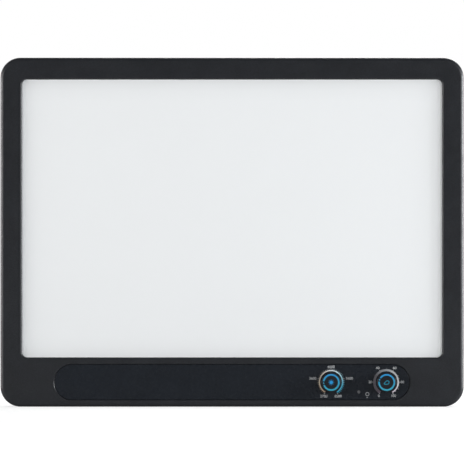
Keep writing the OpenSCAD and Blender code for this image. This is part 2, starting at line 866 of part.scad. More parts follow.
module switch_body() {
    color(black_part) translate([rocker_x, 0, inlet_z]) rotate([-90, 0, 0]) difference() {
        union() {
            plate(switch_flange.x, switch_flange.y, switch_flange_r,
                -pod_h / 2 - switch_flange_t, -pod_h / 2);
            box(switch_body_size.x, switch_body_size.y, -pod_h / 2, -pod_h / 2 + switch_body_d);
        }
        box(switch_well.x, switch_well.y, -pod_h / 2 - switch_flange_t - cut, well_floor_y);
        translate([0, 0, pivot_y]) rotate([90, 0, 0])
            rod(pivot_r + shaft_gap, -pivot_half - shaft_gap, pivot_half + shaft_gap);
    }
}

// Paddle with two wings that meet in a shallow valley over the pivot
module power_rocker() {
    rise = paddle_half * tan(rocker_swing / 2);
    color("#26272a") translate([rocker_x, pivot_y, inlet_z]) rotate(rocker_swing / 2) {
        translate([0, 0, -paddle_w / 2]) linear_extrude(paddle_w) {
            polygon([
                [-paddle_half, -paddle_reach - rise],
                [0, -paddle_reach],
                [paddle_half, -paddle_reach - rise],
                [paddle_half, -paddle_foot],
                [paddle_hub_r, pivot_r],
                [-paddle_hub_r, pivot_r],
                [-paddle_half, -paddle_foot]
            ]);
            circle(paddle_hub_r);
        }
        rod(pivot_r, -pivot_half, pivot_half);
    }
}

// Controls behind the strip

module control_board() {
    color(board_green) difference() {
        translate([control_x, strip_y, 0]) plate(control_w, control_h, board_r, control_z, pot_z);
        at(control_places) rod(screw_r + screw_gap, control_z - cut, pot_z + cut);
    }
}

module pot(x) {
    color("dimgrey") translate([x, strip_y, 0]) difference() {
        union() {
            plate(pot_w, pot_l, pot_r, pot_z, pot_top);
            rod(bush_r, pot_z, pot_top + bush_l);
        }
        rod(shaft_r + shaft_gap, shaft_foot, pot_top + bush_l + cut);
    }
}

module shaft(x, pointer) {
    color(aluminium) translate([x, strip_y, 0]) rotate(pointer) difference() {
        rod(shaft_r, shaft_foot, shaft_top);
        translate([shaft_r - shaft_flat, -shaft_r, flat_foot]) cube(2 * shaft_r);
    }
}

module knob(x, pointer) {
    skirt_r = knob_r - knob_wall;
    color(black_part) translate([x, strip_y, 0]) rotate(pointer) difference() {
        rotate_extrude() round_over(knob_r, knob_z, knob_top, knob_edge_r);
        difference() {
            rod(skirt_r, knob_z - cut, knob_top - knob_roof);
            rod(hub_r, knob_z - 2 * cut, knob_top);
        }
        difference() {
            rod(shaft_r + push_fit, knob_z - cut, shaft_top);
            translate([shaft_r - shaft_flat + push_fit, -shaft_r, flat_foot]) cube(2 * shaft_r);
        }
        ring_shape(push_fit, knob_top - ring_t, knob_top + cut);
        for (k = [0:knob_flutes - 1]) rotate(360 * k / knob_flutes)
            translate([knob_r + knob_flute_r - knob_flute_d, 0, 0])
                rod(knob_flute_r, knob_z - cut, knob_top - 2 * knob_edge_r);
    }
}

// Open ring with its index dot, grown by the fit it needs
module ring_shape(grow, low, high) {
    opening = ring_opening - 2 * asin(grow / ring_r);
    rotate(opening / 2) rotate_extrude(angle = 360 - opening)
        translate([ring_r - ring_w / 2 - grow, low]) square([ring_w + 2 * grow, high - low]);
    translate([ring_r, 0, 0]) rod(dot_r + grow, low, high);
}

module ring(x, pointer) {
    color(signal_blue) translate([x, strip_y, 0]) rotate(pointer)
        ring_shape(0, knob_top - ring_t, knob_top);
}

module status_led() {
    color("ivory") translate([lens_x, lens_y, 0])
        box(status_led_size.x, status_led_size.y, pot_z, pot_z + status_led_size.z);
}

module status_lens() {
    color("white") translate([lens_x, lens_y, 0]) {
        rod(lens_r, z_pocket, strip_face);
        rod(lens_collar_r, z_pocket - lens_collar_t, z_pocket);
        rod(lens_r, pot_z + status_led_size.z, z_pocket - lens_collar_t);
    }
}

// Wiring

module led_lead(i) {
    start = [lead_x[i], lead_start_y(i), z_reflector];
    end = [lead_socket_places[i].x, lead_socket_places[i].y, driver_top + lead_socket.z];
    half_bend = lead_bend / 2;
    color(i == 0 ? "firebrick" : "goldenrod") tube([
        start,
        [start.x, start.y, lead_run_z + half_bend],
        [start.x, start.y - bar_side(i) * half_bend, lead_run_z],
        [start.x, end.y + bar_side(i) * lead_bend, lead_run_z],
        [start.x + lead_bend, end.y, lead_run_z],
        [end.x - half_bend, end.y, lead_run_z],
        [end.x, end.y, lead_run_z - half_bend],
        end
    ], lead_r, [1, 0, 0], [0, bar_side(i), 0]);
}

module ribbon_sockets() {
    color("ivory") translate([ribbon_x, 0, 0]) {
        translate([0, strip_y, 0])
            box(ribbon_socket.x, ribbon_socket.y, control_z - ribbon_socket.z, control_z);
        translate([0, driver_socket_y, 0])
            box(ribbon_socket.x, ribbon_socket.y, driver_top, driver_top + ribbon_socket.z);
    }
}

// The ribbon climbs from the control board, crosses the ribs and drops into the pod.
// Its line is drawn with the panel's y reversed, and stood on edge.
module control_ribbon() {
    half_socket = ribbon_socket.y / 2;
    pod_wall = pod_h / 2 - wall;
    color("white") translate([ribbon_x + ribbon_w / 2, 0, 0]) rotate([90, 0, -90])
        linear_extrude(ribbon_w) band([
            [-strip_y - half_socket, control_z - ribbon_socket.z / 2],
            [-strip_y - half_socket - 3 * ribbon_bend, ribbon_run_z + ribbon_bend / 2],
            [pod_wall - ribbon_bend / 2, ribbon_run_z],
            [pod_wall - 3 * ribbon_bend / 2, ribbon_run_z - ribbon_bend / 2],
            [-driver_socket_y + half_socket + ribbon_bend, driver_top + ribbon_socket.z / 2],
            [-driver_socket_y + half_socket, driver_top + ribbon_socket.z / 2]
        ], ribbon_t);
}

// Screws

module cover_screws() {
    color(steel) at(cover_places) screw(head_seat, cover_screw_l);
}

module tray_screws() {
    color(steel) at(tray_places) screw(z_tray, tray_screw_l);
}

module plate_screws() {
    color(steel) at(plate_places) translate([0, 0, 2 * (plate_z + plate_t)]) mirror([0, 0, 1])
        screw(plate_z + plate_t, plate_screw_l);
}

module driver_screws() {
    color(steel) at(driver_places) translate([0, 0, 2 * driver_top]) mirror([0, 0, 1])
        screw(driver_top, driver_screw_l);
}

module control_screws() {
    color(steel) at(control_places) screw(control_z, control_screw_l);
}

cct_pointer = scale_start - cct_setting;
brightness_pointer = scale_start - brightness_setting;

seat() front_bezel();
seat() control_strip();
seat() strip_adhesive();
seat() diffuser_seal();
seat() diffuser_panel();
seat() prism_film();
seat() light_guide();
seat() reflector_sheet();
seat() back_tray();
seat() led_board(0);  // led_board_top
seat() led_board(1);  // led_board_bottom
seat() color("moccasin") led_row(0);  // warm_leds
seat() color("lemonchiffon") led_row(1);  // cool_leds
seat() thermal_tapes();
seat() rear_cover();
seat() stand_plate();
seat() rear_stand_insert();
seat() bottom_stand_insert();
seat() driver_board();
seat() driver_inductors();
seat() driver_capacitors();
seat() driver_chips();
seat() wireless_module();
seat() lead_sockets();
seat() ribbon_sockets();
seat() usb_c_shell();
seat() usb_c_tongue();
seat() switch_body();
seat() power_rocker();
seat() control_board();
seat() pot(dial_x[0]);  // cct_pot
seat() pot(dial_x[1]);  // brightness_pot
seat() shaft(dial_x[0], cct_pointer);  // cct_shaft
seat() shaft(dial_x[1], brightness_pointer);  // brightness_shaft
seat() knob(dial_x[0], cct_pointer);  // cct_knob
seat() knob(dial_x[1], brightness_pointer);  // brightness_knob
seat() ring(dial_x[0], cct_pointer);  // cct_ring
seat() ring(dial_x[1], brightness_pointer);  // brightness_ring
seat() status_led();
seat() status_lens();
seat() led_lead(0);  // led_lead_top
seat() led_lead(1);  // led_lead_bottom
seat() control_ribbon();
seat() cover_screws();
seat() tray_screws();
seat() plate_screws();
seat() driver_screws();
seat() control_screws();
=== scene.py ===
"""Looks of the LED panel light: fine shells, printed scales, threads, finishes, studio and camera."""
import json
import math

import bmesh
import bpy
from mathutils import Matrix, Vector


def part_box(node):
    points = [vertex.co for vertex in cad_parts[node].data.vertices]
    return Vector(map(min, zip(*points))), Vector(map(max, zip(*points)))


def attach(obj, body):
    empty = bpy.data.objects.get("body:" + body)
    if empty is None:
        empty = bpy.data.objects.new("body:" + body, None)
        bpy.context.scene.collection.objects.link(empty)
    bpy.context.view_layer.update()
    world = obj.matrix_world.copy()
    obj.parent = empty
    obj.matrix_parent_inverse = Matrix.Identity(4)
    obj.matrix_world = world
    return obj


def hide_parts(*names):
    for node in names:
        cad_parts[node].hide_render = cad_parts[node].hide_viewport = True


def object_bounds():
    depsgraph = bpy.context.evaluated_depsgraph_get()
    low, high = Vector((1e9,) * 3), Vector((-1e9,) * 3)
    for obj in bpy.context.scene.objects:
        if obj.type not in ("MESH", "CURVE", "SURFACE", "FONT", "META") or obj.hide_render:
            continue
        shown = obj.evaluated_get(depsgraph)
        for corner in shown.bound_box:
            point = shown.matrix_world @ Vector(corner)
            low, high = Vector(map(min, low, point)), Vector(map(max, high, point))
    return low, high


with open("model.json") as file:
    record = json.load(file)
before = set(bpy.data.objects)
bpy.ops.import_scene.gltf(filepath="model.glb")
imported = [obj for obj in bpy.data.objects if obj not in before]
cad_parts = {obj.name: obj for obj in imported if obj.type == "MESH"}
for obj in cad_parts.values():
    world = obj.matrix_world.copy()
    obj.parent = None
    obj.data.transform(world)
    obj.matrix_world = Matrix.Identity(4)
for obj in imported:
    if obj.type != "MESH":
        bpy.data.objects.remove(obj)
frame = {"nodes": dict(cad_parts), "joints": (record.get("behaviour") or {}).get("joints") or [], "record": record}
cad_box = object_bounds()
nodes = frame["nodes"]
scene = bpy.context.scene

# Shapes are drawn in millimetres with the panel lying on its back: x runs to the right,
# y runs up the panel and z comes out of the lit face. SEAT stands them up in the frame, in metres.
MM = 0.001
SEAT = Matrix(((MM, 0, 0, 0), (0, 0, -MM, 0), (0, MM, 0, 0), (0, 0, 0, 1)))


def box_mm(node):
    """Lowest and highest corner of a CAD node, in millimetres, as it lies on its back."""
    low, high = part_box(node)
    return Vector((low.x, low.z, -high.y)) / MM, Vector((high.x, high.z, -low.y)) / MM


def middle_mm(node):
    """Middle of a CAD node's box, in millimetres, as it lies on its back."""
    low, high = box_mm(node)
    return (low + high) / 2


def joint_mm(name):
    """Place of a joint, in millimetres, as the panel lies on its back."""
    x, y, z = next(joint["pos_m"] for joint in frame["joints"] if joint["name"] == name)
    return Vector((x, z, -y)) / MM


# Bezel
BEZEL_LOW, BEZEL_HIGH = box_mm("front_bezel")
PANEL_W = BEZEL_HIGH.x - BEZEL_LOW.x
PANEL_H = BEZEL_HIGH.y - BEZEL_LOW.y
FACE = BEZEL_HIGH.z
CORNER_R = 14.0
FRONT_EDGE_R = 2.6
WALL = 2.0
FACE_T = 2.2
SKIRT = 5.0
TONGUE_ROOM = 1.3
TONGUE_WALL = 1.0
EDGE_BREAK = 0.3

# Window
SHEET_LOW, SHEET_HIGH = box_mm("diffuser_panel")
SHEET_OVERLAP = 3.0
WINDOW_W = SHEET_HIGH.x - SHEET_LOW.x - 2 * SHEET_OVERLAP
WINDOW_H = SHEET_HIGH.y - SHEET_LOW.y - 2 * SHEET_OVERLAP
WINDOW_Y = (SHEET_LOW.y + SHEET_HIGH.y) / 2
WINDOW_R = 3.5
WINDOW_EDGE_R = 1.45

# Control strip and the dials on it
STRIP_LOW, STRIP_HIGH = box_mm("control_strip")
STRIP_H = STRIP_HIGH.y - STRIP_LOW.y
STRIP_W = 245.0
STRIP_FACE = STRIP_HIGH.z
STRIP_BACK = STRIP_LOW.z
STRIP_Y = (STRIP_LOW.y + STRIP_HIGH.y) / 2
STRIP_GAP = 0.3
STRIP_EDGE_R = 0.2
POCKET_DEPTH = 1.6
POCKET_FLOOR = 2.0
POCKET_RIM = 1.0
BUSH_HOLE_R = 4.2
LENS = middle_mm("status_lens")
LENS_HOLE_R = 1.05
CCT_DIAL = middle_mm("cct_knob")
BRIGHTNESS_DIAL = middle_mm("brightness_knob")
KNOB_TOP = box_mm("cct_knob")[1].z

# Printing
PRINT_T = 0.04
SCALE_SWEEP = 300.0
SCALE_START = 90 + SCALE_SWEEP / 2
TICK_FOOT = 8.2
TICK_END = 9.3
LONG_TICK_END = 9.65
NUMBER_H = 1.75
NUMBER_THIN = 0.006

# Mesh detail: steps in a corner, an edge and a full round, and the angle from which an edge is sharp
CORNER_STEPS = 20
EDGE_STEPS = 8
STRIP_EDGE_STEPS = 5
SMALL_CORNER_STEPS = 2
ROUND_STEPS = 96
SHARP_ANGLE = 30

# Points nearer to each other than this are one point
SAME_POINT_MM = 1e-5
SAME_POINT_M = 1e-7

# How far cutting tools reach past what they cut, and how far the bezel's holes go behind the strip
CUT_PAST = 1
BEZEL_HOLE_REACH = 5


# Mesh building

def circle(r, z, centre=(0, 0), steps=ROUND_STEPS):
    """Loop of points round a circle."""
    turns = [2 * math.pi * k / steps for k in range(steps)]
    return [Vector((centre[0] + r * math.cos(a), centre[1] + r * math.sin(a), z)) for a in turns]


def rounded_rect(w, h, r, z, centre=(0, 0), steps=CORNER_STEPS):
    """Loop of points round a rectangle with round corners."""
    points = []
    for quarter, (sx, sy) in enumerate(((1, 1), (-1, 1), (-1, -1), (1, -1))):
        corner = Vector((centre[0] + sx * (w / 2 - r), centre[1] + sy * (h / 2 - r), z))
        for k in range(steps + 1):
            a = math.pi / 2 * (quarter + k / steps)
            points.append(corner + Vector((r * math.cos(a), r * math.sin(a), 0)))
    return points


def rounded(path, steps=EDGE_STEPS):
    """Line through points (x, y, radius), with each inner corner rounded to its radius."""
    line = []
    for i, (x, y, r) in enumerate(path):
        here = Vector((x, y))
        if r == 0 or i in (0, len(path) - 1):
            line.append(here)
            continue
        back = (Vector(path[i - 1][:2]) - here).normalized()
        ahead = (Vector(path[i + 1][:2]) - here).normalized()
        half = back.angle(ahead) / 2
        centre = here + (back + ahead).normalized() * (r / math.sin(half))
        first = here + back * (r / math.tan(half)) - centre
        sweep = first.angle_signed(here + ahead * (r / math.tan(half)) - centre)
        line += [centre + Matrix.Rotation(-sweep * k / steps, 2) @ first for k in range(steps + 1)]
    return line


def closed(bm):
    """The mesh with doubled points joined and its faces turned outwards."""
    bmesh.ops.remove_doubles(bm, verts=bm.verts, dist=SAME_POINT_MM)
    bmesh.ops.recalc_face_normals(bm, faces=bm.faces)
    return bm


def loft(loops, ring=False):
    """Skin over loops of equal length.

    A ring joins the last loop to the first; otherwise both ends are capped.
    """
    bm = bmesh.new()
    rows = [[bm.verts.new(p) for p in loop] for loop in loops]
    count = len(loops[0])
    pairs = list(zip(rows, rows[1:] + rows[:1])) if ring else list(zip(rows, rows[1:]))
    for low, high in pairs:
        for k in range(count):
            bm.faces.new((low[k], low[(k + 1) % count], high[(k + 1) % count], high[k]))
    if not ring:
        bm.faces.new(list(reversed(rows[0])))
        bm.faces.new(rows[-1])
    return closed(bm)


def rod(r, low, high, centre=(0, 0)):
    """Round rod along z."""
    return loft([circle(r, low, centre), circle(r, high, centre)])


def to_data(bm, name="part"):
    """Mesh data from a working mesh, which is freed."""
    mesh = bpy.data.meshes.new(name)
    bm.to_mesh(mesh)
    bm.free()
    return mesh


def from_object(obj):
    """Working mesh of an object with its modifiers applied."""
    mesh = bpy.data.meshes.new_from_object(
        obj.evaluated_get(bpy.context.evaluated_depsgraph_get()))
    bm = bmesh.new()
    bm.from_mesh(mesh)
    bpy.data.meshes.remove(mesh)
    return bm


def merge(parts):
    """One mesh that holds several separate ones."""
    whole = bmesh.new()
    for bm in parts:
        mesh = to_data(bm)
        whole.from_mesh(mesh)
        bpy.data.meshes.remove(mesh)
    return whole


def moved(bm, x=0, y=0, z=0, turn=0):
    """The mesh turned about z by an angle in degrees, then moved."""
    bm.transform(Matrix.Translation((x, y, z)) @ Matrix.Rotation(math.radians(turn), 4, "Z"))
    return bm


def combine(bm, tools, operation):
    """The mesh after a boolean with each tool mesh in turn."""
    for tool in tools:
        pair = [bpy.data.objects.new("part", to_data(part)) for part in (bm, tool)]
        for obj in pair:
            scene.collection.objects.link(obj)
        step = pair[0].modifiers.new("step", "BOOLEAN")
        step.object = pair[1]
        step.operation = operation
        step.solver = "EXACT"
        bm = from_object(pair[0])
        for obj in pair:
            bpy.data.meshes.remove(obj.data)
    return closed(bm)


def piece(name, bm, body, finish, stands_for=()):
    """A finished piece from a mesh drawn in millimetres, riding on a CAD body."""
    bm.transform(SEAT)
    mesh = to_data(bm, name)
    mesh.materials.append(finish)
    mesh.shade_smooth()
    mesh.set_sharp_from_angle(angle=math.radians(SHARP_ANGLE))
    obj = bpy.data.objects.new(name, mesh)
    scene.collection.objects.link(obj)
    weighted = obj.modifiers.new("face_normals", "WEIGHTED_NORMAL")
    weighted.keep_sharp = True
    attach(obj, body)
    if stands_for:
        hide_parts(*stands_for)
    return obj


# Finishes

# Most of a noise lies between these two values.
NOISE_LOW = 0.3
NOISE_HIGH = 0.7
ACRYLIC_IOR = 1.49
WHITE = (1, 1, 1, 1)


def linear(r, g, b):
    """Linear colour from 8-bit screen values."""
    def one(v):
        v /= 255
        return v / 12.92 if v <= 0.04045 else ((v + 0.055) / 1.055) ** 2.4
    return (one(r), one(g), one(b), 1)


def grey(level):
    """Neutral linear colour."""
    return (level, level, level, 1)


def shade(colour, factor):
    """The colour made darker or lighter by a factor."""
    return tuple(min(1, c * factor) for c in colour[:3]) + (1,)


class NodeTree:
    """A node tree and helpers that add nodes to it."""

    def __init__(self, tree):
        self.tree = tree

    def plug(self, value, socket):
        """Link an output to a socket, or set the socket to a constant."""
        if isinstance(value, bpy.types.NodeSocket):
            self.tree.links.new(value, socket)
        else:
            socket.default_value = value

    def add(self, kind, inputs=None, **settings):
        """A new node with its settings and inputs."""
        node = self.tree.nodes.new(kind)
        for key, value in settings.items():
            setattr(node, key, value)
        for socket, value in (inputs or {}).items():
            self.plug(value, node.inputs[socket])
        return node

    def calc(self, operation, *values):
        """Arithmetic on one, two or three numbers."""
        return self.add("ShaderNodeMath", dict(enumerate(values)), operation=operation).outputs[0]

    def product(self, first, second):
        """One colour times another, channel by channel."""
        return self.add("ShaderNodeVectorMath", {0: first, 1: second}, operation="MULTIPLY").outputs[0]

    def between(self, source, low, high, start=NOISE_LOW, end=NOISE_HIGH):
        """Value that runs from low to high while the source runs from start to end."""
        return self.add("ShaderNodeMapRange", {
            "Value": source, "From Min": start, "From Max": end,
            "To Min": low, "To Max": high}).outputs[0]


class Shader(NodeTree):
    """A material with a Principled shader, with helpers for noise, colour ramps, edges and bump."""

    def __init__(self, name, **sockets):
        self.material = bpy.data.materials.new(name)
        self.material.use_nodes = True
        super().__init__(self.material.node_tree)
        self.principled = self.tree.nodes["Principled BSDF"]
        for socket, value in sockets.items():
            self.principled.inputs[socket.replace("_", " ")].default_value = value
        self.place = self.add("ShaderNodeTexCoord").outputs["Object"]

    def feed(self, socket, source):
        """Link an output to a socket of the Principled shader."""
        self.tree.links.new(source, self.principled.inputs[socket])

    def noise(self, grain_mm, detail=3, stretch=(1, 1, 1)):
        """Noise whose features are about that size, longer along an axis that is stretched."""
        scale = [1 / s for s in stretch]
        place = self.add("ShaderNodeMapping", {"Vector": self.place, "Scale": scale}).outputs[0]
        return self.add("ShaderNodeTexNoise", {
            "Vector": place, "Scale": 1 / (grain_mm * MM), "Detail": detail}).outputs["Fac"]

    def ramp(self, source, stops):
        """Colour ramp from (position, colour) stops."""
        node = self.add("ShaderNodeValToRGB", {"Fac": source})
        elements = node.color_ramp.elements
        while len(elements) < len(stops):
            elements.new(0.5)
        for element, (position, colour) in zip(elements, stops):
            element.position = position
            element.color = colour
        return node.outputs["Color"]

    def tones(self, noise, dark, light):
        """Colour that runs from dark to light with a noise."""
        return self.ramp(noise, [(NOISE_LOW, dark), (NOISE_HIGH, light)])

    def blend(self, factor, first, second):
        """Mix of two colours."""
        node = self.add("ShaderNodeMix", data_type="RGBA")
        for socket, value in zip([i for i in node.inputs if i.enabled], (factor, first, second)):
            self.plug(value, socket)
        return [o for o in node.outputs if o.enabled][0]

    def edges(self, reach_mm):
        """How near a point lies to a sharp edge, from 0 to 1."""
        flat, bent = 0.99, 0.8
        soft = self.add("ShaderNodeBevel", {"Radius": reach_mm * MM}, samples=4).outputs[0]
        true = self.add("ShaderNodeNewGeometry").outputs["Normal"]
        match = self.add("ShaderNodeVectorMath", {0: soft, 1: true}, operation="DOT_PRODUCT")
        return self.between(match.outputs["Value"], 0, 1, flat, bent)

    def bump(self, height, depth_mm):
        """Normal bent by a height."""
        return self.add("ShaderNodeBump", {
            "Height": height, "Distance": depth_mm * MM, "Strength": 1.0}).outputs[0]


def moulded(name, colour, roughness, grain_mm=0.35, grain_depth=0.012, mottle=0.12, wear=0.35,
            speckle=0.1, **sockets):
    """Moulded plastic: fine spark texture, slight mottling, uneven gloss and paler worn edges."""
    cloud_mm, rub_mm, gloss_mm, edge_mm = 18, 5, 4, 0.4
    rub_low, rub_high, worn_shade, gloss_swing = 0.35, 0.65, 2.2, 0.05
    s = Shader(name, **sockets)
    body = s.tones(s.noise(cloud_mm), shade(colour, 1 - mottle), shade(colour, 1 + mottle))
    if wear:
        rub = s.between(s.noise(rub_mm), 0, wear, rub_low, rub_high)
        worn = s.calc("MULTIPLY", s.edges(edge_mm), rub)
        body = s.blend(worn, body, shade(colour, worn_shade))
    grain = s.noise(grain_mm, detail=2)
    pits = s.between(grain, 1 - speckle, 1 + speckle)
    s.feed("Base Color", s.product(body, pits))
    s.feed("Roughness", s.between(s.noise(gloss_mm), roughness - gloss_swing, roughness + gloss_swing))
    s.feed("Normal", s.bump(grain, grain_depth))
    return s.material


def metal(name, colour, roughness, stretch=(1, 1, 1)):
    """Metal with fine tool marks along a stretched direction."""
    mark_mm, mark_depth, gloss_mm = 0.4, 0.004, 3
    dark, light, smoother, rougher = 0.82, 1.1, 0.06, 0.08
    s = Shader(name, Metallic=1.0)
    marks = s.noise(mark_mm, stretch=stretch)
    s.feed("Base Color", s.tones(marks, shade(colour, dark), shade(colour, light)))
    s.feed("Roughness", s.between(s.noise(gloss_mm), roughness - smoother, roughness + rougher))
    s.feed("Normal", s.bump(marks, mark_depth))
    return s.material


def sheet_finish(name, colour, roughness, **sockets):
    """Smooth sheet, film or coating with faint cloudiness."""
    cloud_mm, gloss_mm, grain_mm, grain_depth = 12, 2, 0.2, 0.002
    dark, light, gloss_swing = 0.95, 1.03, 0.05
    s = Shader(name, **sockets)
    s.feed("Base Color", s.tones(s.noise(cloud_mm), shade(colour, dark), shade(colour, light)))
    s.feed("Roughness", s.between(s.noise(gloss_mm), roughness - gloss_swing, roughness + gloss_swing))
    s.feed("Normal", s.bump(s.noise(grain_mm, detail=2), grain_depth))
    return s.material


def opal():
    """Opal acrylic with painted shade that dims it towards the window's rim, and painted light that makes a
    brighter line at the rim itself.

    Its painted light and shade levels stand at distances in millimetres from the left and right, and the lower and
    upper rim.
    """
    reach, gloss_mm, grain_mm, grain_depth = 60, 3, 0.15, 0.003
    smoothest, roughest = 0.42, 0.52
    # Painted light and shade: levels that darken the sheet near the rim, where shade falls, and brighten a line at
    # the rim itself
    side_light_and_shade = [(0, 1.165), (1.4, 1.16), (2.2, 1.04), (3.2, 0.99), (6, 0.99), (10, 1), (reach, 1)]
    end_light_and_shade = [(0, 1.12), (0.8, 1.04), (1.4, 0.925), (4, 0.94), (8, 0.975), (15, 0.995), (reach, 1)]
    s = Shader("opal_acrylic", IOR=ACRYLIC_IOR)
    axes = s.add("ShaderNodeSeparateXYZ", {"Vector": s.place}).outputs
    tint = linear(237, 239, 240)[:3]
    painted_rims = (("X", WINDOW_W / 2, 0, side_light_and_shade), ("Z", WINDOW_H / 2, WINDOW_Y, end_light_and_shade))
    for axis, half, centre, tones in painted_rims:
        off = s.calc("ABSOLUTE", s.calc("SUBTRACT", axes[axis], centre * MM))
        near = s.between(off, 1, 0, (half - reach) * MM, half * MM)
        # Painted light and shade near each rim, multiplied into the sheet's colour
        rim_light_and_shade = s.ramp(near, [(gap / reach, grey(level)) for gap, level in tones])
        tint = s.product(rim_light_and_shade, tint)
    s.feed("Base Color", tint)
    s.feed("Roughness", s.between(s.noise(gloss_mm), smoothest, roughest))
    s.feed("Normal", s.bump(s.noise(grain_mm, detail=2), grain_depth))
    return s.material


def ink(name, stops):
    """Printed ink whose colour follows the mesh's own 'along' value.

    Its stops are pairs of a value from 0 to 1 and an 8-bit screen colour.
    """
    speckle_mm, grain_mm, grain_depth = 0.25, 0.12, 0.002
    dark, light = 0.92, 1.04
    s = Shader(name, Roughness=0.45)
    along = s.add("ShaderNodeAttribute", attribute_name="along").outputs["Fac"]
    speckle = s.between(s.noise(speckle_mm, detail=2), dark, light)
    tint = s.ramp(along, [(value, linear(*colour)) for value, colour in stops])
    s.feed("Base Color", s.product(tint, speckle))
    s.feed("Normal", s.bump(s.noise(grain_mm, detail=2), grain_depth))
    return s.material


def dial_blue():
    """Blue inlay, a little more cyan at the foot of each dial and bluer at its top."""
    half_h, grain_mm, grain_depth = 6, 0.3, 0.003
    s = Shader("dial_blue", IOR=ACRYLIC_IOR, Roughness=0.3)
    axes = s.add("ShaderNodeSeparateXYZ", {"Vector": s.place}).outputs
    foot, top = (CCT_DIAL.y - half_h) * MM, (CCT_DIAL.y + half_h) * MM
    s.feed("Base Color", s.ramp(s.between(axes["Z"], 0, 1, foot, top), [
        (0.0, linear(50, 160, 184)), (0.5, linear(46, 150, 190)), (1.0, linear(32, 136, 198))]))
    s.feed("Normal", s.bump(s.noise(grain_mm, detail=2), grain_depth))
    return s.material


FINISHES = {
    "housing_plastic": moulded("housing_plastic", linear(31, 33, 37), 0.36, grain_mm=0.55,
                               grain_depth=0.035, speckle=0.3, Specular_IOR_Level=0.4),
    "strip_plastic": moulded("strip_plastic", linear(27, 31, 37), 0.27, grain_mm=0.6,
                             grain_depth=0.003, mottle=0.08, wear=0.2, Specular_IOR_Level=0.22),
    "adhesive": moulded("adhesive", linear(60, 60, 60), 0.8, grain_mm=0.5, grain_depth=0.03),
    "foam": moulded("foam", linear(48, 48, 48), 0.9, grain_mm=0.5, grain_depth=0.06),
    "opal_acrylic": opal(),
    "clear_acrylic": sheet_finish("clear_acrylic", (0.85, 0.9, 0.9, 1), 0.12,
                                  Transmission_Weight=0.9, IOR=ACRYLIC_IOR),
    "white_film": sheet_finish("white_film", grey(0.86), 0.5),
    "sheet_aluminium": metal("sheet_aluminium", (0.6, 0.61, 0.63, 1), 0.38, stretch=(12, 1, 1)),
    "led_board": sheet_finish("led_board", (0.78, 0.78, 0.76, 1), 0.35),
    "warm_led": sheet_finish("warm_led", (0.82, 0.48, 0.12, 1), 0.3),
    "cool_led": sheet_finish("cool_led", (0.82, 0.78, 0.3, 1), 0.3),
    "plated_steel": metal("plated_steel", (0.5, 0.51, 0.53, 1), 0.3),
    "black_steel": metal("black_steel", (0.06, 0.06, 0.065, 1), 0.42),
    "brass": metal("brass", (0.68, 0.47, 0.17, 1), 0.28),
    "circuit_board": sheet_finish("circuit_board", (0.012, 0.09, 0.045, 1), 0.3),
    "component_black": moulded("component_black", (0.016, 0.016, 0.017, 1), 0.5),
    "component_metal": metal("component_metal", (0.55, 0.55, 0.56, 1), 0.3),
    "connector_ivory": moulded("connector_ivory", (0.74, 0.69, 0.57, 1), 0.45, wear=0),
    "switch_plastic": moulded("switch_plastic", linear(30, 30, 32), 0.3, grain_mm=0.5,
                              grain_depth=0.004),
    "shaft_aluminium": metal("shaft_aluminium", (0.58, 0.59, 0.61, 1), 0.25),
    "knob_plastic": moulded("knob_plastic", linear(25, 28, 32), 0.4, grain_mm=0.3,
                            grain_depth=0.006, Specular_IOR_Level=0.25),
    "dial_blue": dial_blue(),
    "lead_red": moulded("lead_red", (0.4, 0.02, 0.02, 1), 0.5, wear=0),
    "lead_yellow": moulded("lead_yellow", (0.6, 0.36, 0.03, 1), 0.5, wear=0),
    "ribbon_white": sheet_finish("ribbon_white", grey(0.78), 0.45),
}
SMOKED_LENS = sheet_finish("smoked_lens", linear(92, 93, 96), 0.25)
for subpart in frame["record"]["subparts"]:
    node = subpart["node"]
    finish = SMOKED_LENS if node == "status_lens" else FINISHES[subpart["material_slot"]]
    nodes[node].data.materials.clear()
    nodes[node].data.materials.append(finish)

CCT_INK = ink("cct_ink", [
    (0.0, (214, 182, 150)), (0.2, (216, 202, 180)), (0.4, (218, 210, 204)), (0.52, (228, 238, 242)),
    (0.7, (180, 232, 246)), (0.85, (92, 204, 236)), (1.0, (62, 184, 220))])
BRIGHTNESS_INK = ink("brightness_ink", [
    (0.0, (96, 88, 99)), (0.3, (103, 101, 107)), (0.5, (142, 146, 150)),
    (0.7, (204, 206, 208)), (0.85, (232, 232, 234)), (1.0, (244, 228, 240))])
NUMBER_INK = ink("number_ink", [(0.0, (200, 202, 204)), (1.0, (206, 208, 210))])
ICON_INK = ink("icon_ink", [(0.5, (10, 140, 204)), (1.0, (14, 150, 182))])
GOLD = metal("contact_gold", (0.8, 0.58, 0.22, 1), 0.25)
LAMP_INK = ink("lamp_ink", [(0.0, (150, 152, 155)), (1.0, (156, 158, 160))])
MARK_INK = ink("mark_ink", [(0.0, (206, 208, 210)), (1.0, (212, 214, 216))])


# Front bezel and the strip in its pocket

def pill(w, h, z):
    """Loop round the strip's form, with half-round ends."""
    return rounded_rect(w, h, h / 2, z, (0, STRIP_Y), steps=2 * CORNER_STEPS)


def outline(inset, z):
    """Loop at an inset from the panel's outline."""
    return rounded_rect(PANEL_W - 2 * inset, PANEL_H - 2 * inset, CORNER_R - inset, z)


def window(grow, z):
    """Loop outside the window's outline."""
    return rounded_rect(WINDOW_W + 2 * grow, WINDOW_H + 2 * grow, WINDOW_R + grow, z, (0, WINDOW_Y))


def strip_holes(low, high):
    """Tools that cut the holes for the dials' bushes and the status lens."""
    places = ((CCT_DIAL, BUSH_HOLE_R), (BRIGHTNESS_DIAL, BUSH_HOLE_R), (LENS, LENS_HOLE_R))
    return [rod(r, low, high, (place.x, place.y)) for place, r in places]


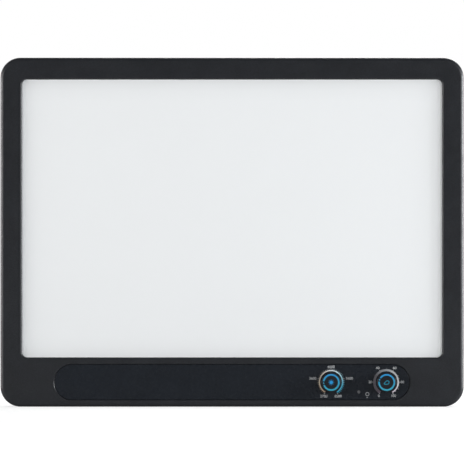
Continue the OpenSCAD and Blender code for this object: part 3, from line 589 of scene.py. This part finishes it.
def bezel_shell():
    """Moulded frame with a rounded front edge and window edge.

    It has a rebate for the cover's tongue behind and a pocket for the strip in front.
    """
    seam = FACE - SKIRT
    lip = FACE - FACE_T
    rebate = seam + TONGUE_ROOM
    outside = rounded([(0, seam, 0), (0, FACE, FRONT_EDGE_R), (PANEL_W, FACE, 0)])[:-1]
    inside = rounded([(PANEL_W, FACE, 0), (0, FACE, WINDOW_EDGE_R), (0, lip, 0)])[1:]
    loops = [outline(p.x, p.y) for p in outside] + [window(p.x, p.y) for p in inside]
    loops += [outline(WALL, lip), outline(WALL, rebate)]
    loops += [outline(TONGUE_WALL, rebate), outline(TONGUE_WALL, seam)]
    shell = loft(loops, ring=True)
    pocket_w = STRIP_W + 2 * STRIP_GAP
    pocket_h = STRIP_H + 2 * STRIP_GAP
    floor = FACE - POCKET_DEPTH
    boss = [pill(pocket_w + 2 * POCKET_RIM, pocket_h + 2 * POCKET_RIM, z)
            for z in (floor - POCKET_FLOOR, lip + FACE_T / 2)]
    mouth = [(0, floor), (0, FACE - EDGE_BREAK), (EDGE_BREAK, FACE), (EDGE_BREAK, FACE + CUT_PAST)]
    pocket = [pill(pocket_w + 2 * g, pocket_h + 2 * g, z) for g, z in mouth]
    holes = strip_holes(STRIP_BACK - BEZEL_HOLE_REACH, FACE)
    shell = combine(shell, [loft(boss)], "UNION")
    return combine(shell, [loft(pocket), *holes], "DIFFERENCE")


def strip_plate():
    """Thin strip with a rounded front edge and its holes."""
    profile = [(0, STRIP_BACK, 0), (0, STRIP_FACE, STRIP_EDGE_R), (STRIP_H, STRIP_FACE, 0)]
    edge = rounded(profile, STRIP_EDGE_STEPS)[:-1]
    plate = loft([pill(STRIP_W - 2 * p.x, STRIP_H - 2 * p.x, p.y) for p in edge])
    return combine(plate, strip_holes(STRIP_BACK - CUT_PAST, FACE + CUT_PAST), "DIFFERENCE")


piece("bezel_shell", bezel_shell(), "panel", FINISHES["housing_plastic"],
      ["front_bezel"])
piece("strip_plate", strip_plate(), "panel", FINISHES["strip_plastic"],
      ["control_strip"])


# Printing on the strip and the dials

def band(path, widths, z):
    """Flat printed line along 2-D points, as wide as given at each.

    Its 'along' value runs from 0 to 1.
    """
    bm = bmesh.new()
    along = bm.verts.layers.float.new("along")
    last = len(path) - 1
    top = z + PRINT_T
    rows = []
    for i, here in enumerate(path):
        ahead = path[min(i + 1, last)] - path[max(i - 1, 0)]
        side = Vector((-ahead.y, ahead.x)).normalized() * widths[i] / 2
        corners = [(here + side, z), (here - side, z), (here - side, top), (here + side, top)]
        row = [bm.verts.new((p.x, p.y, level)) for p, level in corners]
        for vert in row:
            vert[along] = i / last
        rows.append(row)
    for low, high in zip(rows, rows[1:]):
        for k in range(4):
            bm.faces.new((low[k], low[(k + 1) % 4], high[(k + 1) % 4], high[k]))
    bm.faces.new(rows[0])
    bm.faces.new(list(reversed(rows[-1])))
    bmesh.ops.recalc_face_normals(bm, faces=bm.faces)
    return bm


def around(centre, r, angle):
    """2-D point at a radius and an angle in degrees round a centre."""
    a = math.radians(angle)
    return Vector((centre.x + r * math.cos(a), centre.y + r * math.sin(a)))


def set_along(bm, value=0.5):
    """The mesh with one 'along' value at all its points."""
    layer = bm.verts.layers.float.get("along") or bm.verts.layers.float.new("along")
    for vert in bm.verts:
        vert[layer] = value
    return bm


def arc(dial, first, last):
    """Arc of a dial's scale, whose inner and outer radius run from a first pair to a last one."""
    steps = 120
    line, widths = [], []
    for k in range(steps + 1):
        share = k / steps
        inner, outer = (a + (b - a) * share for a, b in zip(first, last))
        line.append(around(dial, (inner + outer) / 2, SCALE_START - SCALE_SWEEP * share))
        widths.append(outer - inner)
    return band(line, widths, STRIP_FACE)


def tick(dial, share, foot, end, width):
    """Tick at a share of the way along a dial's scale, with that share as its 'along' value."""
    angle = SCALE_START - SCALE_SWEEP * share
    line = [around(dial, foot, angle), around(dial, end, angle)]
    return set_along(band(line, [width, width], STRIP_FACE), share)


def cct_scale():
    """Arc with a comb of ticks, bolder in its last quarter.

    The numbers' own ticks are left out of it.
    """
    steps, number_every, bold_after = 36, 9, 27
    fine_w, bold_w = 0.16, 0.3
    radii = (7.6, 8.34)
    parts = [arc(CCT_DIAL, radii, radii)]
    for k in range(steps + 1):
        if k % number_every:
            tick_w = bold_w if k > bold_after else fine_w
            parts.append(tick(CCT_DIAL, k / steps, TICK_FOOT, TICK_END, tick_w))
    return merge(parts)


def brightness_scale():
    """Arc that narrows upwards, with a tick for each 5 percent.

    The numbers' own ticks are left out of it.
    """
    steps, number_every, tick_w = 20, 4, 0.18
    parts = [arc(BRIGHTNESS_DIAL, first=(7.3, 9.28), last=(7.74, 8.58))]
    for k in range(steps + 1):
        if k % number_every:
            end = TICK_END if k % 2 else LONG_TICK_END
            parts.append(tick(BRIGHTNESS_DIAL, k / steps, TICK_FOOT, end, tick_w))
    return merge(parts)


def number_ticks(dial, count):
    """Ticks at a dial's numbers, spaced evenly over its scale and clear of its arc."""
    foot, end, width = 8.7, 9.5, 0.28
    return merge([tick(dial, k / (count - 1), foot, end, width) for k in range(count)])


def lettering(labels, dial):
    """Numbers beside a dial, each (text, x, y) from the dial's centre to the number's."""
    parts = []
    for text, x, y in labels:
        curve = bpy.data.curves.new("label", "FONT")
        curve.body = text
        curve.extrude = PRINT_T / 2
        curve.offset = -NUMBER_THIN
        curve.resolution_u = 5
        label = bpy.data.objects.new("label", curve)
        scene.collection.objects.link(label)
        bm = from_object(label)
        bpy.data.curves.remove(curve)
        low = Vector((min(v.co.x for v in bm.verts), min(v.co.y for v in bm.verts)))
        high = Vector((max(v.co.x for v in bm.verts), max(v.co.y for v in bm.verts)))
        size = NUMBER_H / (high.y - low.y)
        centre = (low + high) / 2 * size
        grow = Matrix.Diagonal((size, size, 1, 1))
        place = Vector((dial.x + x - centre.x, dial.y + y - centre.y, STRIP_FACE + PRINT_T / 2))
        bm.transform(Matrix.Translation(place) @ grow)
        parts.append(set_along(closed(bm)))
    return merge(parts)


def numbers(labels, dial):
    """Numbers beside a dial, with the ticks they stand at."""
    return merge([lettering(labels, dial), number_ticks(dial, len(labels))])


def disc(r, x, y, z):
    """Round printed spot."""
    return set_along(rod(r, z, z + PRINT_T, (x, y)))


def loop_line(points, width, z):
    """Closed printed line through 2-D points."""
    return set_along(band(points + points[:1], [width] * (len(points) + 1), z))


def ring_line(centre, r, width, z, steps):
    """Round closed printed line."""
    return loop_line([around(centre, r, 360 * k / steps) for k in range(steps)], width, z)


def sun_icon(dial):
    """Round core with short rays."""
    core_r, ray_foot, ray_end, ray_w, rays = 1.25, 1.5, 2.0, 0.42, 8
    parts = [disc(core_r, dial.x, dial.y, KNOB_TOP)]
    for k in range(rays):
        angle = 360 * k / rays
        line = [around(dial, ray_foot, angle), around(dial, ray_end, angle)]
        parts.append(set_along(band(line, [ray_w, ray_w], KNOB_TOP)))
    return merge(parts)


def bulb_icon(dial):
    """Tilted bulb outline: a round head that narrows to a neck."""
    head_r, neck_r, neck_at, tilt, line_w = 1.2, 0.4, 2.0, 205, 0.42
    offset, steps = 0.45, 12
    spread = math.degrees(math.acos((head_r - neck_r) / neck_at))
    bends = ((0, head_r, spread, 360 - spread), (neck_at, neck_r, -spread, spread))
    points = []
    for centre, r, start, end in bends:
        for k in range(steps + 1):
            a = math.radians(start + (end - start) * k / steps)
            points.append(Vector((centre - neck_at / 2 + r * math.cos(a), r * math.sin(a))))
    turn = Matrix.Rotation(math.radians(tilt), 2)
    middle = Vector((dial.x - offset, dial.y - offset))
    return set_along(loop_line([middle + turn @ p for p in points], line_w, KNOB_TOP), 1.0)


def lamp_mark():
    """Small ring and dot printed beside the status lens."""
    ring_r, ring_w, ring_steps, dot_r = 1.15, 0.4, 48, 0.38
    lens_to_ring = Vector((5.9, -1.5, 0))
    ring_to_dot = Vector((-0.2, -2.4, 0))
    ring_at = LENS + lens_to_ring
    dot_at = ring_at + ring_to_dot
    return merge([ring_line(ring_at, ring_r, ring_w, STRIP_FACE, ring_steps),
                  disc(dot_r, dot_at.x, dot_at.y, STRIP_FACE)])


CCT_NUMBERS = [
    ("2700", -5.0, -9.7), ("3600", -12.6, 2.6), ("4600", 0, 10.6), ("5600", 12.7, 2.6),
    ("6500", 4.9, -9.7)]
BRIGHTNESS_NUMBERS = [
    ("0", -5.3, -9.5), ("20", -11.1, 0.1), ("40", -6.0, 9.8), ("60", 5.8, 9.8),
    ("80", 11.1, 0.1), ("100", 5.0, -9.4)]

piece("cct_scale", cct_scale(), "panel", CCT_INK)
piece("cct_numbers", numbers(CCT_NUMBERS, CCT_DIAL), "panel", NUMBER_INK)
piece("brightness_scale", brightness_scale(), "panel", BRIGHTNESS_INK)
piece("brightness_numbers", numbers(BRIGHTNESS_NUMBERS, BRIGHTNESS_DIAL), "panel", NUMBER_INK)
piece("lamp_mark", lamp_mark(), "panel", LAMP_INK)
piece("cct_icon", sun_icon(CCT_DIAL), "cct_dial", ICON_INK)
piece("brightness_icon", bulb_icon(BRIGHTNESS_DIAL), "brightness_dial", ICON_INK)


# Stand threads, screws, inlet and switch

THREAD_PITCH = 1.27
THREAD_R = 3.175
THREAD_DEPTH = 0.65
THREAD_MOUTH = 0.5
THREAD_FLANK = 2.6
LOOPS_PER_TURN = 10
THREAD_STOP = 1
FLANGE_W = 2.5
OUTER_CHAMFER = 0.3


def thread_loop(r, z):
    """Loop round a threaded bore: its radius follows the thread's flanks at that height."""
    points = []
    for k in range(ROUND_STEPS):
        turn = k / ROUND_STEPS
        phase = (z / THREAD_PITCH - turn) % 1
        flank = min(1, THREAD_FLANK * abs(phase - 0.5))
        bore = max(THREAD_R - THREAD_DEPTH * (1 - flank), r)
        a = 2 * math.pi * turn
        points.append(Vector((bore * math.cos(a), bore * math.sin(a), z)))
    return points


def threaded_insert(outside, length):
    """Brass insert from its profile of (radius, height), with a thread of a length in its bore."""
    mouth = THREAD_R + THREAD_MOUTH
    steps = round(length / THREAD_PITCH * LOOPS_PER_TURN)
    heights = [length * k / steps for k in range(1, steps)]
    loops = [circle(r, z) for r, z in outside]
    loops += [circle(outside[-1][0] - OUTER_CHAMFER, 0), circle(mouth, 0)]
    loops += [thread_loop(mouth - z, z) for z in heights]
    loops += [circle(THREAD_R - THREAD_DEPTH, length)]
    return loft(loops)


def rear_thread():
    """Flanged insert in the stand plate, its mouth towards the back."""
    high = box_mm("rear_stand_insert")[1]
    plate_top = box_mm("stand_plate")[1].z
    flange_r = high.x
    body_r = flange_r - FLANGE_W
    outside = [(flange_r - OUTER_CHAMFER, high.z), (flange_r, high.z - OUTER_CHAMFER),
               (flange_r, plate_top), (body_r, plate_top), (body_r, OUTER_CHAMFER)]
    return threaded_insert(outside, plate_top - THREAD_STOP)


def bottom_thread():
    """Plain insert in the lower edge, its mouth downwards."""
    low, high = box_mm("bottom_stand_insert")
    length = high.y - low.y
    body_r = high.x
    outside = [(body_r - OUTER_CHAMFER, length), (body_r, length - OUTER_CHAMFER),
               (body_r, OUTER_CHAMFER)]
    bm = threaded_insert(outside, length - THREAD_STOP)
    place = Matrix.Translation((0, low.y, (low.z + high.z) / 2))
    bm.transform(place @ Matrix.Rotation(-math.pi / 2, 4, "X"))
    return bm


def islands(node):
    """Middles of a CAD node's separate solids, in millimetres, seen along the panel's depth."""
    bm = bmesh.new()
    bm.from_mesh(nodes[node].data)
    bmesh.ops.remove_doubles(bm, verts=bm.verts, dist=SAME_POINT_M)
    left = set(bm.verts)
    places = []
    while left:
        found = [left.pop()]
        for vert in found:
            near = {edge.other_vert(vert) for edge in vert.link_edges} & left
            left -= near
            found += near
        xs = [v.co.x for v in found]
        ys = [v.co.z for v in found]
        places.append(((min(xs) + max(xs)) / 2 / MM, (min(ys) + max(ys)) / 2 / MM))
    bm.free()
    return sorted(places)


def cover_screws():
    """Pan-head screws with a cross recess, their heads towards the back."""
    head_r, head_t, shank_r, round_steps, turn_step = 2.2, 1.5, 1.25, 40, 37
    dome, rim_round, crown_round, crown_r, pole_r = 0.45, 0.35, 1.2, 0.5 * head_r, 0.1
    tip_in, tip_l = 0.5, 0.8
    slot_w, slot_l, slot_d, slot_above, slot_round = 0.62, 2.7, 0.9, 0.5, 0.1
    foot_w, foot_l = slot_w * 0.6, 1.1
    low, high = box_mm("cover_screws")
    seat = low.z + head_t
    line = rounded([(shank_r - tip_in, high.z, 0), (shank_r, high.z - tip_l, 0), (shank_r, seat, 0),
                    (head_r, seat, 0), (head_r, low.z + dome, rim_round),
                    (crown_r, low.z, crown_round), (pole_r, low.z, 0)])
    screw = loft([circle(p.x, p.y, steps=round_steps) for p in line])
    arms = []
    for turn in (0, 90):
        foot = rounded_rect(foot_l, foot_w, slot_round, low.z + slot_d, steps=SMALL_CORNER_STEPS)
        top = rounded_rect(slot_l, slot_w, slot_round, low.z - slot_above, steps=SMALL_CORNER_STEPS)
        arms.append(moved(loft([top, foot]), turn=turn))
    screw = combine(screw, arms, "DIFFERENCE")
    copies = []
    for k, (x, y) in enumerate(islands("cover_screws")):
        copies.append(moved(screw.copy(), x, y, turn=turn_step * k))
    screw.free()
    return merge(copies)


def usb_contacts():
    """Gold contacts on both faces of the inlet's tongue."""
    low, high = box_mm("usb_c_tongue")
    middle = (low + high) / 2
    count, pitch, width, thick, inset, corner_r = 12, 0.5, 0.28, 0.03, 0.35, 0.06
    length = high.y - low.y - 2 * inset
    parts = []
    for k in range(count):
        x = middle.x + (k - (count - 1) / 2) * pitch
        for z in (low.z - thick, high.z):
            loops = [rounded_rect(width, length, corner_r, level, (x, middle.y), SMALL_CORNER_STEPS)
                     for level in (z, z + thick)]
            parts.append(loft(loops))
    return merge(parts)


def rocker_marks():
    """A line on one wing of the power rocker and a ring on the other."""
    swing, wing, reach, mark_at = 20, 5.2, 2.6, 3.1
    line_w, line_l, ring_r, ring_steps = 0.4, 2.2, 0.95, 40
    pivot = joint_mm("power_rocker_tip")
    rise = wing * math.tan(math.radians(swing / 2))
    parts = []
    for side in (-1, 1):
        down = Vector((side * wing, -rise, 0)).normalized()
        out = Vector((-side * rise, -wing, 0)).normalized()
        across = down.cross(out)
        middle = Vector((0, -reach, 0)) + down * mark_at
        lie = Matrix((across, down, out)).transposed().to_4x4()
        if side < 0:
            mark = band([Vector((-line_l / 2, 0)), Vector((line_l / 2, 0))], [line_w, line_w], 0)
        else:
            mark = ring_line(Vector((0, 0)), ring_r, line_w, 0, ring_steps)
        mark.transform(Matrix.Translation(middle) @ lie)
        parts.append(set_along(mark))
    return moved(merge(parts), pivot.x, pivot.y, pivot.z, turn=swing / 2)


piece("rear_thread", rear_thread(), "panel", FINISHES["brass"], ["rear_stand_insert"])
piece("bottom_thread", bottom_thread(), "panel", FINISHES["brass"], ["bottom_stand_insert"])
piece("cover_screw_set", cover_screws(), "panel", FINISHES["black_steel"],
      ["cover_screws"])
piece("usb_contacts", usb_contacts(), "panel", GOLD)
piece("rocker_marks", rocker_marks(), "rocker", MARK_INK)


# Studio, in metres

FLOOR_Z = cad_box[0].z
FLOOR_R = 1.2
FLOOR_STEPS = 96
FLOOR_DARK = 0.54
FLOOR_LIGHT = 0.56
FLOOR_CLOUD_MM = 90
FLOOR_LIFT = 0.58
MIRRORED_LIFT = 0.06
AMBIENT = 0.38

# Each lamp's name, place, width and height, power in watts and tint
SOFTBOXES = [
    ("left_softbox", (-1.75, -0.95, 0.2), (2.2, 0.5), 20.2, (1.015, 1, 0.985)),
    ("right_softbox", (1.75, -0.95, 0.2), (2.2, 0.5), 26.7, (0.98, 1, 1.02)),
    ("left_rim", (-2.0, 0.07, 0.2), (1.5, 0.5), 19, (1, 1, 1)),
    ("right_rim", (2.0, 0.07, 0.2), (1.5, 0.5), 43, (0.97, 1, 1.03)),
    ("back_softbox", (0.6, 2.2, 1.6), (1.4, 1.0), 40, (1, 1, 1)),
]


def studio_floor():
    """Round pale floor that ends in the white of the background.

    The camera sees it lifted towards white, and reflections see it faintly lifted.
    """
    bm = bmesh.new()
    bmesh.ops.create_circle(bm, cap_ends=True, segments=FLOOR_STEPS, radius=FLOOR_R)
    mesh = to_data(bm, "floor")
    floor = bpy.data.objects.new("floor", mesh)
    floor.location.z = FLOOR_Z
    scene.collection.objects.link(floor)
    s = Shader("floor", Roughness=0.9, Specular_IOR_Level=0.0, Emission_Color=WHITE)
    s.feed("Base Color", s.tones(s.noise(FLOOR_CLOUD_MM), grey(FLOOR_DARK), grey(FLOOR_LIGHT)))
    path = s.add("ShaderNodeLightPath").outputs
    mirrored = s.calc("MAXIMUM", path["Is Glossy Ray"], path["Is Transmission Ray"])
    faint = s.calc("MULTIPLY", mirrored, MIRRORED_LIFT)
    s.feed("Emission Strength", s.calc("MULTIPLY_ADD", path["Is Camera Ray"], FLOOR_LIFT, faint))
    mesh.materials.append(s.material)


def studio_world():
    """Even ambient light and a white background.

    Reflections see a room that darkens overhead and in front.
    """
    dark, bright = 0.12, 1.0
    world = bpy.data.worlds.new("studio")
    scene.world = world
    world.use_nodes = True
    world.node_tree.nodes.clear()
    w = NodeTree(world.node_tree)

    def glow(strength):
        return w.add("ShaderNodeBackground", {"Color": WHITE, "Strength": strength}).outputs[0]

    place = w.add("ShaderNodeTexCoord").outputs["Generated"]
    axes = w.add("ShaderNodeSeparateXYZ", {"Vector": place}).outputs
    front = w.between(axes["Y"], dark, bright, start=-0.7, end=0.1)
    overhead = w.between(axes["Z"], bright, dark, start=0.15, end=0.5)
    room = glow(w.calc("MINIMUM", front, overhead))
    path = w.add("ShaderNodeLightPath").outputs
    seen_by = (("Is Glossy Ray", room), ("Is Transmission Ray", room), ("Is Camera Ray", glow(1.0)))
    light = glow(AMBIENT)
    for rays, seen in seen_by:
        light = w.add("ShaderNodeMixShader", {0: path[rays], 1: light, 2: seen}).outputs[0]
    w.add("ShaderNodeOutputWorld", {"Surface": light})


def softbox(name, place, size, power, tint):
    """Area lamp of a width and height that looks at the panel's middle."""
    lamp = bpy.data.lights.new(name, "AREA")
    lamp.shape = "RECTANGLE"
    lamp.size, lamp.size_y = size
    lamp.energy = power
    lamp.color = tint
    obj = bpy.data.objects.new(name, lamp)
    obj.location = place
    obj.rotation_euler = (-Vector(place)).to_track_quat("-Z", "Y").to_euler()
    obj.visible_camera = False
    scene.collection.objects.link(obj)


def camera():
    """Long lens straight at the lit face.

    It is framed as the panel's outline lies in the photograph's frame.
    """
    frame_px = 464
    outline_px = 463.3
    middle_px = Vector((232.05, 232.2))
    distance = 3.0
    mm_per_px = PANEL_W / outline_px
    shift = (middle_px - Vector((frame_px, frame_px)) / 2) * mm_per_px * MM
    data = bpy.data.cameras.new("camera")
    data.lens = data.sensor_width * distance / (frame_px * mm_per_px * MM)
    data.clip_start, data.clip_end = 0.1, 60
    obj = bpy.data.objects.new("camera", data)
    obj.location = (-shift.x, -(FACE - FRONT_EDGE_R) * MM - distance, shift.y)
    obj.rotation_euler = (math.pi / 2, 0, 0)
    scene.collection.objects.link(obj)
    scene.camera = obj


studio_floor()
studio_world()
for lamp_values in SOFTBOXES:
    softbox(*lamp_values)
camera()
scene.view_settings.view_transform = "Standard"
